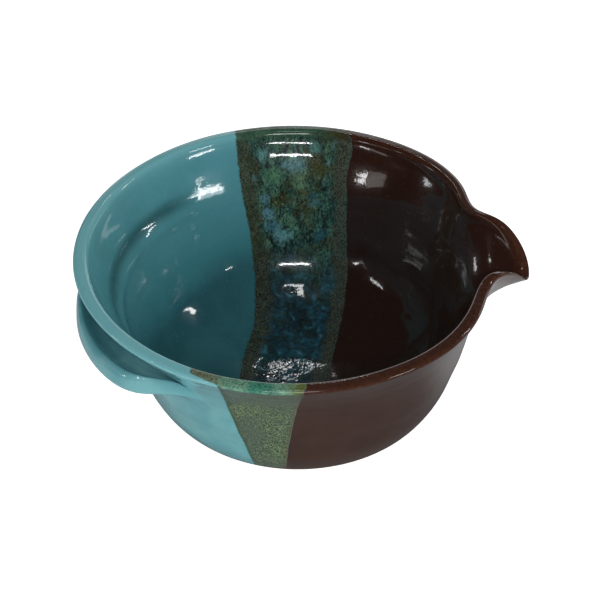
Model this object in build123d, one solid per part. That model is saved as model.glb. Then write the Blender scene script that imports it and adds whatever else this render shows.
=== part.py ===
from build123d import *
import math
import os

# Hand-thrown stoneware batter bowl: a deep open bowl on a trimmed foot ring, with a
# pouring lip pulled out of its rim and a dished ledge handle luted to the wall under
# the lip.  Glazed in two colours that overlap in a green band.
# Frame: origin on the resting plane under the middle of the outline, +Z up, pouring lip
# along +X, handle towards -X -Y.  Shapes are drawn about the axis of the foot ring and
# moved at the end.  Millimetres and degrees.

# ---- bowl --------------------------------------------------------------------
RIM_HEIGHT = 94.56
RIM_RADIUS = 109.1          # outer edge of the rolled lip
LIP_WIDTH = 7.1             # outer edge of the lip to its inner edge
FOOT_RADIUS = 57.0
FOOT_RING_WIDTH = 7.5
FOOT_BEVEL = 0.9            # on both edges of the foot ring
FOOT_RECESS_DEPTH = 3.2
FLOOR_TOP = 11.3            # glazed floor inside, at the centre
FOOT_AXIS = (-2.39, -0.41)  # where the axis of the foot ring stands in the frame
RING_POINTS = 72            # spline points on each ring round the bowl

# Glazed profile as (radius, height): up the outside, over the lip, down to the floor
OUTER_WALL = [
    (FOOT_RADIUS - FOOT_BEVEL, 0.0), (FOOT_RADIUS, FOOT_BEVEL), (FOOT_RADIUS + 0.4, 3.0),
    (60.4, 4.3), (65.8, 6.8), (71.2, 11.8), (75.6, 18.6), (79.5, 26.5),
    (82.6, 35.3), (86.0, 44.6), (89.2, 53.9), (92.6, 63.2), (96.4, 72.4),
    (99.6, 78.2), (102.8, 83.6), (105.7, 87.6), (108.2, 91.2),
]
LIP = [
    (RIM_RADIUS, 93.0), (108.3, 94.1), (105.7, RIM_HEIGHT + 0.05),
    (103.2, RIM_HEIGHT - 0.05), (RIM_RADIUS - LIP_WIDTH, 93.5),
]
INNER_WALL = [
    (100.9, 91.0), (98.5, 86.6), (95.6, 81.5), (92.7, 76.4), (89.6, 71.0), (86.1, 62.8),
    (82.6, 54.0), (79.2, 45.6), (75.4, 37.0), (71.2, 29.9), (66.0, 24.3), (58.8, 19.3),
    (50.0, 15.7), (39.5, 13.2), (28.0, 12.0), (17.0, 11.5), (8.0, FLOOR_TOP),
]
PROFILE = OUTER_WALL + LIP + INNER_WALL
LIP_START = len(OUTER_WALL)             # index of the first lip point in PROFILE
LIP_END = LIP_START + len(LIP) - 1      # index of the last

# Ovality at the rim, growing with the square of height
RIM_OFFSET = (-4.1, 0.29)       # x, y shift
RIM_OVAL_2 = (-2.05, 0.22)      # cosine and sine of twice the angle
RIM_OVAL_3 = (-0.40, -0.13)     # cosine and sine of three times the angle

# ---- pouring lip ---------------------------------------------------------------
SPOUT_AZIMUTH = 1.9
SPOUT_HALF_ANGLE = 62           # the pull acts this far either side of its azimuth
SPOUT_ROOT = 40.0               # height where the pull begins
SPOUT_RISE_LIMIT = 1.02         # cap on the height share between root and rim
SPOUT_PUSH_POWER = 2.21         # how push and droop fade down the wall
SPOUT_DROOP_POWER = 1.92
SPOUT_TURN = 4.13               # the tip is bent this far towards -Y
SPOUT_TURN_SPREAD = 13.0        # degrees
SPOUT_THIN = 1.75               # thinning of the pulled wall, from the inside
SPOUT_THIN_SPREAD = 32.0        # degrees
# (angle from the spout azimuth, outward push of the rim)
SPOUT_PUSH = [
    (-60, 0), (-46, -0.41), (-36, -2.0), (-29, -3.9), (-23, -5.4), (-18, -5.3),
    (-13.5, -2.9), (-9, 2.9), (-4.5, 9.0), (0, 13.7), (4.5, 13.9), (9, 9.0),
    (13.5, 2.1), (18, -5.0), (23, -6.8), (29, -4.1), (36, -1.75), (46, -0.35), (60, 0),
]
# (angle from the spout azimuth, droop of the rim)
SPOUT_DROOP = [
    (-34, 0), (-24, 0.8), (-17, 0.6), (-11, 1.0), (-5.5, 8.6), (0, 18.3),
    (5.5, 11.0), (11, 2.3), (17, 0.7), (24, 0.3), (34, 0),
]

# ---- handle --------------------------------------------------------------------
# (azimuth, radius of the crest from the bowl axis)
HANDLE_CREST = [
    (178, 101.2), (184, 105.8), (190, 110.2), (196, 112.8), (202, 115.6),
    (208, 118.0), (214, 119.8), (220, 120.9), (225, 120.3), (229, 116.8),
    (232.5, 110.4), (236, 104.2), (240, 98.9), (245, 95.0),
]
# (azimuth, height of the middle of the rolled crest)
HANDLE_HEIGHT = [
    (178, 80.5), (214, 79.5), (226, 78.6), (233, 76.4), (240, 72.5), (245, 70.0),
]
HANDLE_ROLL = 11.5              # height of the rolled edge where fully grown
HANDLE_END_ROLL_SHARE = 0.65    # share of that height left where the ledge dies out
HANDLE_DISH = 6.0               # depth of the dished top below the crest
HANDLE_BURY = 5.5               # depth the ledge is scored into the wall
HANDLE_END_SINK = 1.2           # the crest sinks no deeper than this into the wall
HANDLE_GROWTH_START = 1.0       # depth of the crest in the wall where growth starts
HANDLE_GROWTH_SPAN = 17.0       # change of reach from no growth to full growth
HANDLE_STEPS = 24               # steps between radial sections along the handle

# ---- glaze -----------------------------------------------------------------------
GLAZE_THICKNESS = 0.6
GLAZE_LINE = 5.0                # the glaze stops this far above the resting plane
GLAZE_BOX = (300, 300, 130)     # box that keeps the glaze above its line
MID_WALL_DEPTH = 3.0            # depth into the clay that parts inside from outside
INSIDE_TOP = 125.0              # top of the region that parts them
BAND_BOTTOM = -5
BAND_HEIGHT = 145
MIN_GLAZE_VOLUME = 200          # smaller scraps left by the cuts are dropped

# Edges of the green band as (x, y), running from +Y to -Y; left is the -X edge
BAND_IN_LEFT = [
    (-34.5, 130), (-33.2, 104.1), (-31.9, 93.9), (-29.0, 83.5), (-26.0, 77.7),
    (-24.2, 72.4), (-23.0, 64.8), (-22.8, 53.3), (-24.0, 35.5), (-27.0, 23.4),
    (-29.1, 9.3), (-31.0, -10), (-35.0, -35), (-40.0, -60), (-46.0, -80),
    (-50.0, -97), (-51.0, -130),
]
BAND_IN_RIGHT = [
    (26.0, 130), (26.8, 101), (28.6, 96.5), (26.3, 91.0), (25.8, 83.7), (25.6, 77.3),
    (26.2, 70.3), (25.6, 60.0), (23.2, 45.0), (20.7, 31.2), (18.0, 16.3), (16.1, 0.6),
    (14.0, -20), (11.0, -45), (8.0, -70), (5.0, -90), (4.0, -106), (3.0, -130),
]
BAND_OUT_LEFT = [
    (-38.0, 130), (-36.0, 100), (-31.0, 80), (-25.0, 60), (-20.0, 30), (-18.5, 0),
    (-19.0, -40), (-20.6, -66), (-23.6, -75.2), (-27.8, -81.2), (-32.0, -87.0),
    (-34.4, -93.0), (-36.9, -105), (-40.0, -130),
]
BAND_OUT_RIGHT = [
    (28.0, 130), (27.0, 100), (22.0, 80), (16.0, 60), (6.0, 30), (0.0, 0),
    (-5.0, -40), (-6.4, -66), (-5.6, -77), (-3.9, -86), (-0.6, -97),
    (1.2, -104.5), (2.4, -110), (3.0, -130),
]


# ---- helpers ---------------------------------------------------------------------
def clamp(value):
    return min(max(value, 0.0), 1.0)


def biggest(shape):
    return max(shape.solids(), key=lambda solid: abs(solid.volume))


def clamped_spline(table):
    """Cubic through (x, y) points with flat ends; returns a function of x."""
    xs = [float(x) for x, _ in table]
    ys = [float(y) for _, y in table]
    n = len(xs)
    step = [xs[i + 1] - xs[i] for i in range(n - 1)]

    # tridiagonal system for the second derivatives (bend) at the points
    lower, diagonal, upper, right = [0.0] * n, [0.0] * n, [0.0] * n, [0.0] * n
    diagonal[0], upper[0] = 2 * step[0], step[0]
    right[0] = 6 * (ys[1] - ys[0]) / step[0]
    for i in range(1, n - 1):
        lower[i], diagonal[i], upper[i] = step[i - 1], 2 * (step[i - 1] + step[i]), step[i]
        right[i] = 6 * ((ys[i + 1] - ys[i]) / step[i] - (ys[i] - ys[i - 1]) / step[i - 1])
    lower[-1], diagonal[-1] = step[-1], 2 * step[-1]
    right[-1] = -6 * (ys[-1] - ys[-2]) / step[-1]
    for i in range(1, n):
        factor = lower[i] / diagonal[i - 1]
        diagonal[i] -= factor * upper[i - 1]
        right[i] -= factor * right[i - 1]
    bend = [0.0] * n
    bend[-1] = right[-1] / diagonal[-1]
    for i in range(n - 2, -1, -1):
        bend[i] = (right[i] - upper[i] * bend[i + 1]) / diagonal[i]

    def value(x):
        if x <= xs[0]:
            return ys[0]
        if x >= xs[-1]:
            return ys[-1]
        i = 0
        while xs[i + 1] < x:
            i += 1
        ahead, behind = xs[i + 1] - x, x - xs[i]
        return ((bend[i] * ahead ** 3 + bend[i + 1] * behind ** 3) / (6 * step[i])
                + (ys[i] / step[i] - bend[i] * step[i] / 6) * ahead
                + (ys[i + 1] / step[i] - bend[i + 1] * step[i] / 6) * behind)
    return value


spout_push = clamped_spline(SPOUT_PUSH)
spout_droop = clamped_spline(SPOUT_DROOP)
handle_crest = clamped_spline(HANDLE_CREST)
handle_height = clamped_spline(HANDLE_HEIGHT)


# ---- bowl shape --------------------------------------------------------------------
def shape_point(radius, z, inner, angle):
    """Place a profile point at an angle in radians: ovality first, then the spout.

    inner runs from 0 on the outside of the wall to 1 on the inside.
    """
    weight = clamp(z / RIM_HEIGHT) ** 2
    cosine, sine = math.cos(angle), math.sin(angle)
    oval = weight * (RIM_OVAL_2[0] * math.cos(2 * angle) + RIM_OVAL_2[1] * math.sin(2 * angle)
                     + RIM_OVAL_3[0] * math.cos(3 * angle)
                     + RIM_OVAL_3[1] * math.sin(3 * angle))
    x = (radius + oval) * cosine + weight * RIM_OFFSET[0]
    y = (radius + oval) * sine + weight * RIM_OFFSET[1]

    off_spout = (math.degrees(angle) - SPOUT_AZIMUTH + 180.0) % 360.0 - 180.0
    if z <= SPOUT_ROOT or abs(off_spout) >= SPOUT_HALF_ANGLE:
        return (x, y, z)
    rise = min((z - SPOUT_ROOT) / (RIM_HEIGHT - SPOUT_ROOT), SPOUT_RISE_LIMIT)
    thinning = SPOUT_THIN * math.exp(-(off_spout / SPOUT_THIN_SPREAD) ** 4) * inner * rise
    push = spout_push(off_spout) * rise ** SPOUT_PUSH_POWER + thinning
    droop_share = rise ** SPOUT_DROOP_POWER
    turn = SPOUT_TURN * math.exp(-(off_spout / SPOUT_TURN_SPREAD) ** 2) * droop_share
    return (x + push * cosine, y + push * sine - turn,
            z - spout_droop(off_spout) * droop_share)


def profile_points(offset):
    """PROFILE moved into the clay by offset, as (radius, height, inner)."""
    points = []
    last = len(PROFILE) - 1
    for i, (radius, z) in enumerate(PROFILE):
        before, after = PROFILE[max(i - 1, 0)], PROFILE[min(i + 1, last)]
        along_r, along_z = after[0] - before[0], after[1] - before[1]
        length = math.hypot(along_r, along_z)
        normal_r, normal_z = -along_z / length, along_r / length
        if i == 0:
            normal_r, normal_z = -1.0, 0.0      # the foot stays on the resting plane
        if i == last:
            normal_r, normal_z = 0.0, -1.0
        share = clamp((i - LIP_START) / (LIP_END - LIP_START))
        inner = share * share * (3 - 2 * share)
        points.append((radius + offset * normal_r, z + offset * normal_z, inner))
    return points


def ring_points(radius, z, inner):
    return [shape_point(radius, z, inner, 2 * math.pi * k / RING_POINTS)
            for k in range(RING_POINTS)]


def loft_rings(rings):
    """Ruled loft through closed spline rings."""
    parameters = [k / RING_POINTS for k in range(RING_POINTS + 1)]
    wires = [Wire([Edge.make_spline([Vector(*point) for point in ring], periodic=True,
                                    parameters=parameters)])
             for ring in rings]
    return Solid.make_loft(wires, ruled=True)


def bowl_solid(offset):
    return loft_rings([ring_points(*point) for point in profile_points(offset)])


def foot_recess():
    """Recess turned inside the foot ring."""
    radius = FOOT_RADIUS - FOOT_RING_WIDTH
    outline = [
        (0, -1), (radius + FOOT_BEVEL, -1), (radius + FOOT_BEVEL, 0), (radius, FOOT_BEVEL),
        (radius - 1.4, FOOT_RECESS_DEPTH - 0.6), (radius - 3.4, FOOT_RECESS_DEPTH),
        (0, FOOT_RECESS_DEPTH + 0.4),
    ]
    polygon = Wire.make_polygon([Vector(x, 0, z) for x, z in outline], close=True)
    return Solid.revolve(Face(polygon), 360, Axis.Z)


# ---- handle shape --------------------------------------------------------------------
def wall_radius(angle, z):
    """Polar radius of the outer wall at height z, away from the spout."""
    (r0, z0), (r1, z1) = next((low, high) for low, high in zip(OUTER_WALL, OUTER_WALL[1:])
                              if z <= high[1])
    x, y, _ = shape_point(r0 + (r1 - r0) * (z - z0) / (z1 - z0), z, 0.0, angle)
    return math.hypot(x, y)


def handle_section(azimuth, inset):
    """Radial section of the handle, as (radius, height) points."""
    angle = math.radians(azimuth)
    middle = handle_height(azimuth)
    wall = wall_radius(angle, middle)
    crest = max(handle_crest(azimuth), wall - HANDLE_END_SINK)
    # how far the ledge has grown, 0 to 1
    growth = clamp((crest - wall + HANDLE_GROWTH_START) / HANDLE_GROWTH_SPAN)
    roll_share = HANDLE_END_ROLL_SHARE + (1 - HANDLE_END_ROLL_SHARE) * growth
    half = HANDLE_ROLL / 2.0 * roll_share - inset
    dish = HANDLE_DISH * growth
    top = middle + half
    bottom = middle - half
    low = bottom - 9.0 - 4.0 * growth       # where the underside meets the wall

    # (share of the way from the buried edge to the crest, height)
    dished_top = [
        (0.0, top + 1.0), (0.27, top - dish * 0.55), (0.39, top - dish - 0.6 * growth),
        (0.555, top - dish - 0.5 * growth), (0.70, top - dish * 0.45), (0.82, top),
    ]
    roll_and_underside = [
        (0.935, middle + half * 0.82), (1.0, middle + half * 0.15),
        (0.955, middle - half * 0.62), (0.80, middle - half * 1.02),
        (0.60, bottom - 1.3 * growth), (0.40, bottom - 3.6 * growth),
        (0.27, low + 3.0), (0.0, low),
    ]
    points = []
    # the dished top only sinks by the inset; the rest also draws inwards
    for rows, edge in ((dished_top, crest), (roll_and_underside, crest - inset)):
        for share, z in rows:
            buried = wall_radius(angle, z) - HANDLE_BURY
            points.append((buried + share * (edge - buried), z))
    return points


def handle_solid(inset):
    wires = []
    start, end = HANDLE_CREST[0][0], HANDLE_CREST[-1][0]
    for k in range(HANDLE_STEPS, -1, -1):
        azimuth = start + (end - start) * k / HANDLE_STEPS
        angle = math.radians(azimuth)
        line = [Vector(radius * math.cos(angle), radius * math.sin(angle), z)
                for radius, z in handle_section(azimuth, inset)]
        spans = len(line) - 1
        outside = Edge.make_spline(line, parameters=[j / spans for j in range(spans + 1)])
        wires.append(Wire([outside, Edge.make_line(line[-1], line[0])]))
    return Solid.make_loft(wires, ruled=True)


# ---- glaze regions ---------------------------------------------------------------------
def band_prism(left, right):
    """Vertical slab between two wavy edges."""
    left = [Vector(x, y, BAND_BOTTOM) for x, y in left]
    right = [Vector(x, y, BAND_BOTTOM) for x, y in right]
    outline = Wire([Edge.make_spline(left), Edge.make_line(left[-1], right[-1]),
                    Edge.make_spline(right), Edge.make_line(left[0], right[0])])
    return Solid.extrude(Face(outline), Vector(0, 0, BAND_HEIGHT))


def inside_region():
    """Everything inboard of the middle of the lip and of a surface within the wall."""
    mouth = ring_points(RIM_RADIUS - LIP_WIDTH / 2, RIM_HEIGHT, 0.5)
    raised_mouth = [(x, y, INSIDE_TOP) for x, y, _ in mouth]
    wall = [ring_points(*point) for point in profile_points(MID_WALL_DEPTH)[LIP_END + 2:]]
    return loft_rings([raised_mouth, mouth] + wall)


def bowl_glazes(skin, clay, handle_clay):
    """Turquoise (-X), green band and brown (+X) parts of the coat on the bowl."""
    width, depth, height = GLAZE_BOX
    above_line = Solid.make_box(width, depth, height,
                                Plane((-width / 2, -depth / 2, GLAZE_LINE)))
    shell = biggest((skin - clay) & above_line)
    inside = inside_region()
    band_in = band_prism(BAND_IN_LEFT, BAND_IN_RIGHT) & inside
    band_out = band_prism(BAND_OUT_LEFT, BAND_OUT_RIGHT) - inside
    green_in = shell & band_in
    green_out = shell & band_out
    rest = shell - band_in - band_out - handle_clay
    halves = sorted([solid for solid in rest.solids() if abs(solid.volume) > MIN_GLAZE_VOLUME],
                    key=lambda solid: solid.center().X)
    return halves[0], green_in + green_out, halves[-1]


# ---- build -------------------------------------------------------------------------------
clay = bowl_solid(GLAZE_THICKNESS)
skin = bowl_solid(0.0)
handle_clay = handle_solid(GLAZE_THICKNESS)
handle_skin = handle_solid(0.0)
turquoise, green, brown = bowl_glazes(skin, clay, handle_clay)

pieces = {
    "bowl_body": biggest(clay - foot_recess()),
    "handle": biggest(handle_clay - clay),
    "turquoise_glaze": turquoise,
    "green_band_glaze": green,
    "brown_glaze": brown,
    "handle_glaze": biggest(handle_skin - handle_clay - skin),
}

os.makedirs("parts", exist_ok=True)
for name, piece in pieces.items():
    export_step(piece.moved(Location((*FOOT_AXIS, 0))), "parts/" + name + ".step")
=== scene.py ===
# A thrown bowl with a pulled spout and a ledge handle, dipped in three glazes.
# The foot stands on z = 0. The spout points to +X, the handle runs from -X round towards -Y,
# and a green band crosses the bowl from front (-Y) to back (+Y), turquoise on its left (-X)
# and brown on its right (+X). The camera looks from the front. The bowl is worked out in
# millimetres about the axis of its foot ring; the studio is in metres.
import bpy
import math
import numpy as np
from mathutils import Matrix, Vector


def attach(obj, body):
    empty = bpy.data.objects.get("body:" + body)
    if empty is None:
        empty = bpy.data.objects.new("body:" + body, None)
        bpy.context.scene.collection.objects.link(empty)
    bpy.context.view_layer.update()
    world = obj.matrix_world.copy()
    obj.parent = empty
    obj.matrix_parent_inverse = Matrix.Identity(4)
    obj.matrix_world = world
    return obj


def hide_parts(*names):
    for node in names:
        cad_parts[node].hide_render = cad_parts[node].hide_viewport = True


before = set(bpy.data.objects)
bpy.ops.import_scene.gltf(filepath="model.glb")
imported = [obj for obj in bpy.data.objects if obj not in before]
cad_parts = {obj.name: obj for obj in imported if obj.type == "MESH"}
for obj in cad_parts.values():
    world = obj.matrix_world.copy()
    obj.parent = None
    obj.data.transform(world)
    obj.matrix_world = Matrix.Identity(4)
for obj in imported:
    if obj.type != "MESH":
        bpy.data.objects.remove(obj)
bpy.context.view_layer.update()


# ---------------------------------------------------------------------------
# Dimensions (mm and degrees; azimuths turn from +X towards +Y)
# ---------------------------------------------------------------------------
HEIGHT, RIM_RADIUS = 94.56, 109.1
AXIS = np.array([-2.39, -0.41, 0.0])      # axis of the foot ring in the frame
COAT = 0.6                                # glaze thickness
GLAZE_LINE = 5.0                          # mean height of the glaze's lower edge

# Profile from foot to lip to floor centre: (radius, height)
OUTER = [(56.1, 0.0), (57.0, 0.9), (57.4, 3.0), (60.4, 4.3), (65.8, 6.8), (71.2, 11.8),
         (75.6, 18.6), (79.5, 26.5), (82.6, 35.3), (86.0, 44.6), (89.2, 53.9), (92.6, 63.2),
         (96.4, 72.4), (99.6, 78.2), (102.8, 83.6), (105.7, 87.6), (108.2, 91.2)]
LIP = [(RIM_RADIUS, 93.0), (108.3, 94.1), (105.7, HEIGHT + 0.05), (103.2, HEIGHT - 0.05),
       (102.0, 93.5)]
INNER = [(100.9, 91.0), (98.5, 86.6), (95.6, 81.5), (92.7, 76.4), (89.6, 71.0), (86.1, 62.8),
         (82.6, 54.0), (79.2, 45.6), (75.4, 37.0), (71.2, 29.9), (66.0, 24.3), (58.8, 19.3),
         (50.0, 15.7), (39.5, 13.2), (28.0, 12.0), (17.0, 11.5), (8.0, 11.3), (0.0, 11.25)]
PROFILE = np.array(OUTER + LIP + INNER)
LIP_START, LIP_END = len(OUTER), len(OUTER) + len(LIP) - 1

# Underside from near the centre to the foot's outer edge: (radius, height)
UNDERSIDE = [(0.4, 3.62), (8, 3.6), (16, 3.55), (24, 3.5), (30, 3.42), (36, 3.36), (41, 3.3),
             (44.5, 3.24), (46.1, 3.15), (47.2, 2.95), (48.1, 2.55), (48.8, 1.8), (49.3, 1.0),
             (49.8, 0.4), (50.4, 0.05), (51.2, 0.0), (53.3, 0.0), (55.2, 0.0), (56.0, 0.06),
             (56.5, 0.35), (56.9, 0.9)]

# How the rim strays from a circle: (x, y) shift, then (cosine, sine) parts of two and three lobes
RIM_SHIFT, TWO_LOBES, THREE_LOBES = (-4.1, 0.29), (-2.05, 0.22), (-0.40, -0.13)

SPOUT_AZIMUTH, SPOUT_ROOT = 1.9, 40.0     # direction, and height where it starts
# Spout: (degrees from its middle, mm pushed outwards)
PUSH = [(-60, 0), (-46, -0.41), (-36, -2.0), (-29, -3.9), (-23, -5.4), (-18, -5.3), (-13.5, -2.9),
        (-9, 2.9), (-4.5, 9.0), (0, 13.7), (4.5, 13.9), (9, 9.0), (13.5, 2.1), (18, -5.0),
        (23, -6.8), (29, -4.1), (36, -1.75), (46, -0.35), (60, 0)]
# Spout: (degrees from its middle, mm lowered)
DROOP = [(-34, 0), (-24, 0.8), (-17, 0.6), (-11, 1.0), (-5.5, 8.6), (0, 18.3), (5.5, 11.0),
         (11, 2.3), (17, 0.7), (24, 0.3), (34, 0)]
# How push and droop grow with height, extra push inside, lean of the spout towards -Y
PUSH_POWER, DROOP_POWER, INNER_PUSH, SPOUT_LEAN = 2.21, 1.92, 1.75, 4.13

# Handle: (azimuth, radius of its outer edge) and (azimuth, height of its middle)
CREST = [(178, 101.2), (184, 105.8), (190, 110.2), (196, 112.8), (202, 115.6), (208, 118.0),
         (214, 119.8), (220, 120.9), (225, 120.3), (229, 116.8), (232.5, 110.4), (236, 104.2),
         (240, 98.9), (245, 95.0)]
HANDLE_Z = [(178, 80.5), (214, 79.5), (226, 78.6), (233, 76.4), (240, 72.5), (245, 70.0)]
HANDLE_START, HANDLE_END = CREST[0][0], CREST[-1][0]
# Thickness of the rolled edge, depth of the hollow on top, how far the root lies in the wall
ROLL, DISH, BURY = 11.5, 6.0, 5.5
# Distance along the handle's section of each control point
HANDLE_KNOTS = np.array([0, 3, 7.5, 11.5, 16, 20.5, 24.5, 29.5, 33.8, 37, 40.5, 45, 49.2,
                         52.6, 56.4, 58.4])

# Dip lines that bound the band, seen from above: (x, y)
BAND_IN_LEFT = [(-34.5, 130), (-33.2, 104.1), (-31.9, 93.9), (-29.0, 83.5), (-26.0, 77.7),
                (-24.2, 72.4), (-23.0, 64.8), (-22.8, 53.3), (-24.0, 35.5), (-27.0, 23.4),
                (-29.1, 9.3), (-31.0, -10), (-35.0, -35), (-40.0, -60), (-46.0, -80),
                (-50.0, -97), (-51.0, -130)]
BAND_IN_RIGHT = [(26.0, 130), (26.8, 101), (28.6, 96.5), (26.3, 91.0), (25.8, 83.7), (25.6, 77.3),
                 (26.2, 70.3), (25.6, 60.0), (23.2, 45.0), (20.7, 31.2), (18.0, 16.3), (16.1, 0.6),
                 (14.0, -20), (11.0, -45), (8.0, -70), (5.0, -90), (4.0, -106), (3.0, -130)]
BAND_OUT_LEFT = [(-38.0, 130), (-36.0, 100), (-31.0, 80), (-25.0, 60), (-20.0, 30), (-18.5, 0),
                 (-19.0, -40), (-20.6, -66), (-23.6, -75.2), (-27.8, -81.2), (-32.0, -87.0),
                 (-34.4, -93.0), (-36.9, -105), (-40.0, -130)]
BAND_OUT_RIGHT = [(28.0, 130), (27.0, 100), (22.0, 80), (16.0, 60), (6.0, 30), (0.0, 0),
                  (-5.0, -40), (-6.4, -66), (-5.6, -77), (-3.9, -86), (-0.6, -97), (1.2, -104.5),
                  (2.4, -110), (3.0, -130)]

# Glaze grid: columns round the axis, then rows below the handle, rows per span of the handle,
# rows above it, over the lip and down the inside
COLUMNS = 440
ROWS_LOW, ROWS_PER_SPAN, ROWS_UP, ROWS_LIP, ROWS_IN = 30, 4, 9, 26, 112
CLAY_COLUMNS = 288

# Throwing rings: (mm along the profile, width, height); inside measured from the lip's inner end
INNER_RINGS = [(12, 10.0, 0.62), (27, 5.0, -0.05), (37, 4.4, -0.10), (49, 4.6, 0.17),
               (63, 4.8, -0.20), (76, 4.4, 0.28), (91, 4.5, -0.26), (106, 4.0, 0.22),
               (122, 4.5, -0.2)]
OUTER_RINGS = [(28, 4, 0.14), (41, 4.5, -0.16), (56, 5, 0.16), (70, 5, -0.14), (82, 4, 0.12)]

# Places of the finger marks on the inside wall: (x, y, z)
FINGER_MARKS = [(33, 67, 36), (49, 62, 46), (46, 53, 29), (51, 45, 27), (58, 47, 36),
                (61, 39, 32), (67, 47, 55), (69, 36, 44), (56, 55, 45), (44, 67, 48),
                (78, 44, 80), (63, 61, 72), (31, 54, 21), (38, 48, 21), (-44, 61, 36),
                (-48, 51, 29), (-53, 32, 21), (-58, 60, 52), (-62, 50, 44), (-70, 30, 38),
                (-5, 60, 19), (8, 57, 18)]


# ---------------------------------------------------------------------------
# Curves and the profile by arc length
# ---------------------------------------------------------------------------
def spline(knots, values, clamped=True):
    """Cubic spline, ends flat or natural; values may be (n,) or (n, m). Returns a function."""
    knots = np.asarray(knots, float)
    values = np.asarray(values, float)
    n = len(knots)
    step = np.diff(knots)
    matrix = np.zeros((n, n))
    target = np.zeros((n,) + values.shape[1:])
    for i in range(1, n - 1):
        matrix[i, i - 1:i + 2] = step[i - 1], 2 * (step[i - 1] + step[i]), step[i]
        target[i] = 6 * ((values[i + 1] - values[i]) / step[i]
                         - (values[i] - values[i - 1]) / step[i - 1])
    if clamped:
        matrix[0, :2] = 2 * step[0], step[0]
        matrix[-1, -2:] = step[-1], 2 * step[-1]
        target[0] = 6 * (values[1] - values[0]) / step[0]
        target[-1] = -6 * (values[-1] - values[-2]) / step[-1]
    else:
        matrix[0, 0] = matrix[-1, -1] = 1.0
    bend = np.linalg.solve(matrix, target.reshape(n, -1)).reshape(target.shape)

    def value(at):
        at = np.clip(np.asarray(at, float), knots[0], knots[-1])
        i = np.clip(np.searchsorted(knots, at, side="right") - 1, 0, n - 2)
        u, v, h = knots[i + 1] - at, at - knots[i], step[i]
        if values.ndim > 1:
            u, v, h = u[..., None], v[..., None], h[..., None]
        return ((bend[i] * u ** 3 + bend[i + 1] * v ** 3) / (6 * h)
                + (values[i] / h - bend[i] * h / 6) * u
                + (values[i + 1] / h - bend[i + 1] * h / 6) * v)
    return value


def through(table, clamped=True):
    return spline(*zip(*table), clamped=clamped)


def smooth(start, end, v):
    t = np.clip((v - start) / (end - start), 0, 1)
    return t * t * (3 - 2 * t)


push_at, droop_at, crest_at, handle_z_at = map(through, (PUSH, DROOP, CREST, HANDLE_Z))

knot_s = np.concatenate([[0], np.cumsum(np.hypot(*np.diff(PROFILE, axis=0).T))])
S = np.linspace(0, knot_s[-1], 4001)
S_END = S[-1]
PROFILE_R, PROFILE_Z = spline(knot_s, PROFILE, clamped=False)(S).T
# 0 on the outside, 1 on the inside, changing over the lip
INNER_SHARE = smooth(LIP_START, LIP_END, np.interp(S, knot_s, np.arange(len(PROFILE))))
S_LIP0, S_LIP_MID, S_LIP1 = knot_s[LIP_START - 1], knot_s[LIP_START + 2], knot_s[LIP_END + 1]
outer_count = int(np.searchsorted(S, S_LIP0)) + 20
OUTER_Z = np.maximum.accumulate(PROFILE_Z[:outer_count])


def radius_at(s):
    return np.interp(s, S, PROFILE_R)


def height_at(s):
    return np.interp(s, S, PROFILE_Z)


def inner_share_at(s):
    return np.interp(s, S, INNER_SHARE)


def outer_radius(z):
    return np.interp(z, OUTER_Z, PROFILE_R[:outer_count])


def outer_s(z):
    return np.interp(z, OUTER_Z, S[:outer_count])


def place(r, z, inner, theta):
    """Profile point (r, z) at angle theta after the uneven rim and the pulled spout."""
    grow = np.clip(z / HEIGHT, 0, 1) ** 2
    cos, sin = np.cos(theta), np.sin(theta)
    r = r + grow * (TWO_LOBES[0] * np.cos(2 * theta) + TWO_LOBES[1] * np.sin(2 * theta)
                    + THREE_LOBES[0] * np.cos(3 * theta) + THREE_LOBES[1] * np.sin(3 * theta))
    x = r * cos + grow * RIM_SHIFT[0]
    y = r * sin + grow * RIM_SHIFT[1]
    angle = (np.degrees(theta) - SPOUT_AZIMUTH + 180.0) % 360.0 - 180.0
    rise = np.clip((z - SPOUT_ROOT) / (HEIGHT - SPOUT_ROOT), 0, 1.02)
    push = (push_at(angle) * rise ** PUSH_POWER
            + INNER_PUSH * np.exp(-(angle / 32.0) ** 4) * inner * rise)
    sag = rise ** DROOP_POWER
    x = x + push * cos
    y = y + push * sin - SPOUT_LEAN * np.exp(-(angle / 13.0) ** 2) * sag
    return x, y, z - droop_at(angle) * sag


def wall_radius(z, theta):
    """Distance of the outside wall from the axis."""
    x, y, _ = place(outer_radius(z), z, 0.0, theta)
    return np.hypot(x, y)


# ---------------------------------------------------------------------------
# Grids: rows along the profile by columns around the axis
# ---------------------------------------------------------------------------
def around(columns):
    return np.linspace(0, 2 * np.pi, columns, endpoint=False)


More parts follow.
